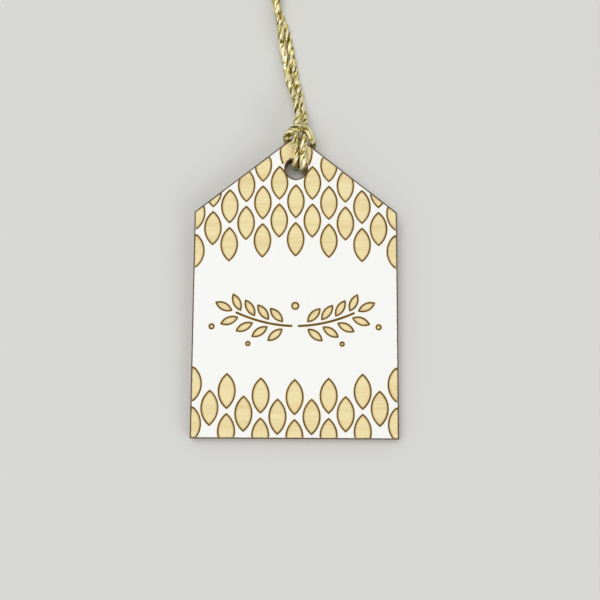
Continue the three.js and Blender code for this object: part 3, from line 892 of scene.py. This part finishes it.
def cord_material(name):
    """Metallised film slit into narrow strips and wound on twisted plies, with glints painted into its colour
    as cream strips.

    Each strip is a flat facet that leans a little, so that neighbours catch the light in turn. Between the
    plies, where the film faces away from the light, its ochre colour is painted shade.
    """
    colours = bpy.context.scene.hang_tag_colours
    radius = part_sizes().radius
    material, tree, shader = new_material(name)
    straight = add_node(tree, "Attribute", attribute_name="straight").outputs["Vector"]
    # Strips of film, really 0.25 mm wide, drawn at 0.35 mm so that they show, each about 1 mm long, with its
    # own lean and its own painted highlight or painted shade in its colour
    drawn = add_node(tree, "Mapping", {"Vector": straight, "Scale": (1.0, 1.0, 0.35)})
    strip = add_node(tree, "TexVoronoi", {"Vector": drawn, "Scale": 2.8}).outputs["Color"]
    pick = add_node(tree, "SeparateColor", {0: strip})
    patches = add_node(tree, "TexNoise", {"Vector": drawn, "Scale": 1.1, "Detail": 3.0})
    mixed = add_node(tree, "Math", {0: pick, 1: 0.55, 2: patches}, operation="MULTIPLY_ADD")
    flat = add_node(tree, "VectorMath", {0: straight, 1: (1.0, 1.0, 0.0)}, operation="MULTIPLY")
    out = add_node(tree, "VectorMath", {0: flat}, operation="LENGTH").outputs["Value"]
    # Painted shade: the colour darkens toward the valleys between the plies, where the section's radius is
    # smallest
    crown = add_node(tree, "MapRange", {0: out, 1: radius * 0.8, 2: radius * 0.98, 3: -0.18, 4: 0.04})
    painted_light_and_shade = add_node(tree, "Math", {0: mixed, 1: crown}, operation="ADD")
    # Painted light and shade: the ramp runs from painted shade in dark ochre, through the film's gold, to a
    # painted highlight in pale cream
    stops = ((0.52, colours.painted_shade_gold), (0.9, colours.highlight_gold), (0.72, colours.gold))
    lean = add_node(tree, "VectorMath", {0: strip, 1: (0.5, 0.5, 0.5)}, operation="SUBTRACT")
    lean = add_node(tree, "VectorMath", {0: lean, 3: 0.9}, operation="SCALE")
    surface = add_node(tree, "NewGeometry").outputs["Normal"]
    facet = add_node(tree, "VectorMath", {0: surface, 1: lean}, operation="ADD")
    facet = add_node(tree, "VectorMath", {0: facet}, operation="NORMALIZE")
    relief = {"Strength": 0.5, "Distance": 0.12 * MM, "Height": mixed, "Normal": facet}
    fill_inputs(tree, shader, {
        "Base Color": add_node(tree, "ValToRGB", {"Fac": painted_light_and_shade}, stops=stops),
        "Metallic": 0.6,
        "Specular Tint": colours.highlight_gold,
        "Roughness": add_node(tree, "MapRange", {0: pick, 1: 0.0, 2: 1.0, 3: 0.2, 4: 0.45}),
        "Normal": add_node(tree, "Bump", relief),
    })
    return material


def find_or_make(name, maker, *arguments):
    """A material that an earlier operator made, or a new one."""
    return bpy.data.materials.get(name) or maker(name, *arguments)


# Operators


class HANGTAG_OT_camera(bpy.types.Operator):
    """Set the camera where the photograph was taken from"""

    bl_idname = "hang_tag.camera"
    bl_label = "Camera"

    def execute(self, context):
        place, aim = Vector(CAMERA_PLACE) * MM, Vector(CAMERA_AIM) * MM
        back = (place - aim).normalized()
        right = Vector((0, 1, 0)).cross(back).normalized()
        turn = Matrix((right, back.cross(right), back)).transposed().to_4x4()
        data = bpy.data.cameras.new("camera")
        data.sensor_width = SENSOR_WIDTH
        data.lens = CAMERA_LENS
        data.clip_start = 0.005
        data.clip_end = 20
        camera = bpy.data.objects.new("camera", data)
        camera.matrix_world = Matrix.Translation(place) @ turn @ Matrix.Rotation(CAMERA_ROLL, 4, "Z")
        context.scene.collection.objects.link(camera)
        context.scene.camera = camera
        return {"FINISHED"}


class HANGTAG_OT_cord(bpy.types.Operator):
    """Make the twisted cord: its knot, its two free strands and the hitch"""

    bl_idname = "hang_tag.cord"
    bl_label = "Cord, Hitch and Knot"

    def execute(self, context):
        route = cord_route()
        material = find_or_make("metallised_film_cord", cord_material)
        first, left_end, hitch_start, hitch_end, right_end, last = route.cuts
        hitch = cord_piece("twisted_hitch", route, hitch_start, hitch_end, material)
        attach(hitch, "hitch")
        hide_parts("cord_hitch")
        knots = [
            cord_piece("knot_left_cord", route, first, left_end, material),
            cord_piece("knot_right_cord", route, right_end, last, material),
        ]
        for knot in knots:
            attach(knot, "loop")
            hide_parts("end_knot")
        spans = (
            ("left_cord", left_end, hitch_start, -1, "left_strand", knots[0]),
            ("right_cord", hitch_end, right_end, 1, "right_strand", knots[1]),
        )
        for name, start, stop, way, node, knot in spans:
            strand = cord_piece(name, route, start, stop, material)
            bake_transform(strand)
            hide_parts(node)
        return {"FINISHED"}


class HANGTAG_OT_face(bpy.types.Operator):
    """Make the white coat and the scored veneer under it"""

    bl_idname = "hang_tag.face"
    bl_label = "Scored Face"

    def execute(self, context):
        size = part_sizes()
        rings, depths = island_rings(size)
        coat = coat_piece(size, rings, find_or_make("white_lacquer_coat", coat_material))
        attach(coat, "tag")
        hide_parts("face_coat")
        material = find_or_make("scored_basswood_veneer", veneer_material, True)
        veneer = scored_veneer_piece(size, rings, depths, material)
        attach(veneer, "tag")
        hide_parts("front_veneer")
        return {"FINISHED"}


class HANGTAG_OT_plies(bpy.types.Operator):
    """Finish the back veneer and the core"""

    bl_idname = "hang_tag.plies"
    bl_label = "Back and Core Veneers"

    def execute(self, context):
        finishes = {
            "back_veneer": find_or_make("basswood_veneer", veneer_material, False),
            "core_veneer": find_or_make("charred_poplar_core", core_material),
        }
        for node, material in finishes.items():
            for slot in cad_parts[node].material_slots:
                slot.material = material
        return {"FINISHED"}


class HANGTAG_OT_stage(bpy.types.Operator):
    """Make the pale floor under the tag and the soft studio light"""

    bl_idname = "hang_tag.stage"
    bl_label = "Floor and Light"

    def execute(self, context):
        scene = context.scene
        size = part_sizes()
        studio, colours = scene.hang_tag_studio, scene.hang_tag_colours
        material, tree, shader = new_material("pale_floor_card")
        # Tooth of the card, about 0.6 mm
        tooth = add_node(tree, "TexNoise", {"Vector": board_place(tree), "Scale": 1.6, "Detail": 2.0})
        fill_inputs(tree, shader, {
            "Base Color": colours.floor,
            "Roughness": 0.9,
            "Normal": add_node(tree, "Bump", {"Strength": 0.1, "Distance": 0.05 * MM, "Height": tooth}),
        })
        corners = [(x, y, table_height(y, size) - FLOOR_GAP) for x, y in FLOOR_CORNERS]
        floor = add_mesh("floor", corners, [(0, 1, 2, 3)], material, smooth=False)
        lamps = (
            ("key_lamp", (-270, 160, 1260), 960, studio.key_power),
            ("fill_lamp", (780, -680, 780), 720, studio.fill_power),
        )
        for name, spot, width, power in lamps:
            data = bpy.data.lights.new(name, "AREA")
            data.shape = "SQUARE"
            data.size = width * MM
            data.energy = power
            lamp = bpy.data.objects.new(name, data)
            lamp.location = Vector(spot) * MM
            lamp.rotation_euler = (Vector(LAMP_AIM) - Vector(spot)).to_track_quat("-Z", "Y").to_euler()
            scene.collection.objects.link(lamp)
        world = bpy.data.worlds.new("studio")
        world.use_nodes = True
        tree = world.node_tree
        tree.nodes.clear()
        light = add_node(tree, "Background", {"Color": colours.even_light, "Strength": studio.world_strength})
        backdrop = add_node(tree, "Background", {"Color": colours.backdrop})
        ray = add_node(tree, "LightPath").outputs
        seen = add_node(tree, "Math", {0: ray["Is Camera Ray"], 1: ray["Is Glossy Ray"]}, operation="MAXIMUM")
        mixed = add_node(tree, "MixShader", {0: seen, 1: light, 2: backdrop})
        add_node(tree, "OutputWorld", {"Surface": mixed})
        scene.world = world
        scene.view_settings.view_transform = "Standard"
        return {"FINISHED"}


class HANGTAG_PT_panel(bpy.types.Panel):
    """Operators and settings of the hang tag"""

    bl_label = "Hang Tag"
    bl_space_type = "VIEW_3D"
    bl_region_type = "UI"
    bl_category = "Hang Tag"

    def draw(self, context):
        for operator in OPERATORS:
            self.layout.operator(operator.bl_idname)
        for group in GROUPS:
            box = self.layout.box()
            settings = getattr(context.scene, group)
            for name in setting_names(settings):
                box.prop(settings, name, text=name.replace("_", " ").capitalize())


OPERATORS = (HANGTAG_OT_camera, HANGTAG_OT_cord, HANGTAG_OT_face, HANGTAG_OT_plies, HANGTAG_OT_stage)
GROUPS = {
    "hang_tag_board": HangTagBoard,
    "hang_tag_cord": HangTagCord,
    "hang_tag_colours": HangTagColours,
    "hang_tag_studio": HangTagStudio,
}


def register():
    for kind in (*GROUPS.values(), *OPERATORS, HANGTAG_PT_panel):
        bpy.utils.register_class(kind)
    for name, kind in GROUPS.items():
        setattr(bpy.types.Scene, name, PointerProperty(type=kind))


def unregister():
    for name in GROUPS:
        delattr(bpy.types.Scene, name)
    for kind in reversed((*GROUPS.values(), *OPERATORS, HANGTAG_PT_panel)):
        bpy.utils.unregister_class(kind)


def main():
    """Builds everything in order."""
    register()
    bpy.ops.hang_tag.camera()
    bpy.ops.hang_tag.cord()
    bpy.ops.hang_tag.face()
    bpy.ops.hang_tag.plies()
    bpy.ops.hang_tag.stage()


if __name__ == "__main__":
    main()
